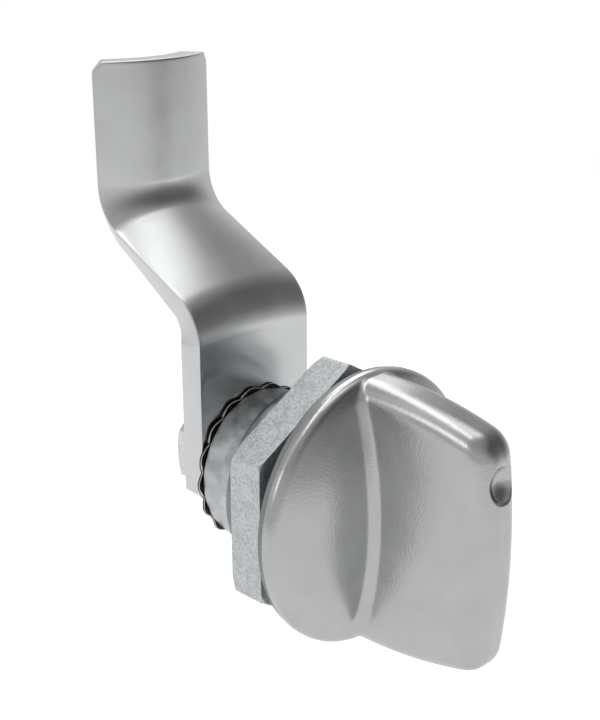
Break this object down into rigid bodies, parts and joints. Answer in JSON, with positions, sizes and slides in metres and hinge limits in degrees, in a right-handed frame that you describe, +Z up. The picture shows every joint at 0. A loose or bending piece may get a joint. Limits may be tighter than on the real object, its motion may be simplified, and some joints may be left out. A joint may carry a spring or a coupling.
{
  "type": "quarter-turn cam latch",
  "caption": "Panel latch with a wing knob, threaded barrel and hexagon nut, whose bent cam turns a quarter turn behind the door.",
  "frame": {"origin": "on the spindle's axis, in the plane of the flange's rear face, which lies on the panel", "axes": "+Y along the axis, through the panel to the cam; -Y to the user; +Z up, where the cam points at rest"},
  "size_m": [0.031, 0.0556, 0.0609],
  "materials": {
    "cast_knob": "satin cast metal",
    "cast_housing": "polished cast metal",
    "zinc": "galvanised, spangled",
    "stainless": "satin stainless steel",
    "black_steel": "black oxide",
    "zinc_screw": "zinc plated",
    "seal_rubber": "matt"
  },
  "bodies": {
    "housing": {"housing": "cast_housing", "mounting_nut": "zinc"},
    "rotor": {"wing_knob": "cast_knob", "shaft_seal": "seal_rubber", "tooth_washer": "black_steel", "cam": "stainless", "spring_washer": "zinc_screw", "cam_screw": "zinc_screw"}
  },
  "joints": [
    {"name": "quarter_turn", "type": "hinge", "parent": "housing", "child": "rotor", "pos_m": [0, 0, 0], "axis": [0, 1, 0], "range_deg": [0, 90]}
  ]
}
